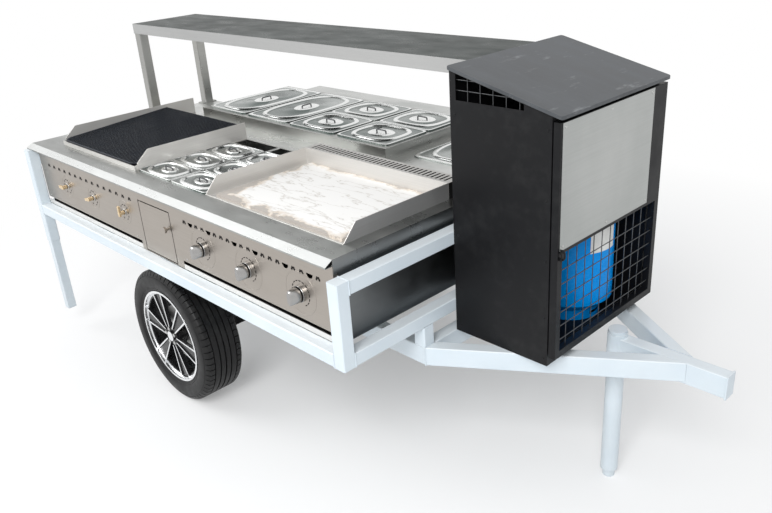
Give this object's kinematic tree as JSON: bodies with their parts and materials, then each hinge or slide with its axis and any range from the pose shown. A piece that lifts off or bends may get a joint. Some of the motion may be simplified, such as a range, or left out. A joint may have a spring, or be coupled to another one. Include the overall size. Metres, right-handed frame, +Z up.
{
  "type": "catering kitchen trailer",
  "caption": "Towed outdoor kitchen: a stainless counter with griller, griddle and covered pans on a tube frame, with a gas locker on the drawbar.",
  "frame": {"origin": "on the ground under the middle of the whole trailer's box", "axes": "+X forward to the hitch, -Y the cooks' side, +Z up"},
  "size_m": [3.25, 1.724, 1.5566],
  "materials": {
    "frame_paint": "satin",
    "spring_steel": "satin",
    "axle_paint": "satin",
    "stainless": "brushed",
    "pan_steel": "polished",
    "grate_iron": "matte",
    "griddle_steel": "seasoned",
    "locker_black": "satin",
    "roof_grey": "satin",
    "mesh_wire": "satin",
    "sign_steel": "brushed",
    "cylinder_blue": "gloss",
    "brass": "polished",
    "knob_steel": "satin",
    "tyre_rubber": "matte",
    "alloy": "machined"
  },
  "bodies": {
    "trailer": {"tray_rails": "frame_paint", "tray_bearers": "frame_paint", "corner_posts": "frame_paint", "end_rails": "frame_paint", "chassis_rails": "frame_paint", "chassis_crossers": "frame_paint", "chassis_stubs": "frame_paint", "drawbar_members": "frame_paint", "tow_tongue": "frame_paint", "leaf_springs": "spring_steel", "spring_hangers": "spring_steel", "axle_beam": "axle_paint", "counter_deck": "stainless", "body_skirt": "stainless", "body_floor": "stainless", "body_sill": "stainless", "griller_fascia": "stainless", "griddle_fascia": "stainless", "cupboard_liner": "stainless", "grill_box": "stainless", "griddle_box": "stainless", "griddle_flue": "stainless", "front_bath": "stainless", "rear_bath": "stainless", "overhead_shelf": "stainless", "shelf_legs": "stainless", "front_pans": "pan_steel", "rear_pans": "pan_steel", "front_lids": "pan_steel", "rear_lids": "pan_steel", "grill_grate": "grate_iron", "griddle_plate": "griddle_steel", "locker_body": "locker_black", "locker_roof": "roof_grey", "locker_vent_mesh": "mesh_wire", "gas_cylinder": "cylinder_blue", "gas_regulator": "brass", "gas_cocks": "brass", "griddle_knobs": "knob_steel"},
    "wheel_near": {"tyre_near": "tyre_rubber", "rim_near": "alloy"},
    "wheel_far": {"tyre_far": "tyre_rubber", "rim_far": "alloy"},
    "stand": {"stand_leg": "frame_paint"},
    "rear_leg_near": {"leg_near": "frame_paint"},
    "rear_leg_far": {"leg_far": "frame_paint"},
    "locker_leaf": {"locker_door": "locker_black", "door_mesh": "mesh_wire", "door_sign": "sign_steel"},
    "cupboard_leaf": {"cupboard_door": "stainless"}
  },
  "joints": [
    {"name": "wheel_near_spin", "type": "hinge", "parent": "trailer", "child": "wheel_near", "pos_m": [-0.53, -0.7175, 0.316], "axis": [0, 1, 0], "continuous": true},
    {"name": "wheel_far_spin", "type": "hinge", "parent": "trailer", "child": "wheel_far", "pos_m": [-0.53, 0.7215, 0.316], "axis": [0, 1, 0], "continuous": true},
    {"name": "stand_slide", "type": "slide", "parent": "trailer", "child": "stand", "axis": [0, 0, 1], "range_m": [0, 0.3]},
    {"name": "rear_leg_near_slide", "type": "slide", "parent": "trailer", "child": "rear_leg_near", "axis": [0, 0, 1], "range_m": [-0.12, 0.18]},
    {"name": "rear_leg_far_slide", "type": "slide", "parent": "trailer", "child": "rear_leg_far", "axis": [0, 0, 1], "range_m": [-0.12, 0.18]},
    {"name": "locker_door_swing", "type": "hinge", "parent": "trailer", "child": "locker_leaf", "pos_m": [1.169, 0.311, 1], "axis": [0, 0, 1], "range_deg": [0, 110]},
    {"name": "cupboard_door_swing", "type": "hinge", "parent": "trailer", "child": "cupboard_leaf", "pos_m": [-0.552, -0.804, 0.855], "axis": [0, 0, -1], "range_deg": [0, 100]}
  ]
}
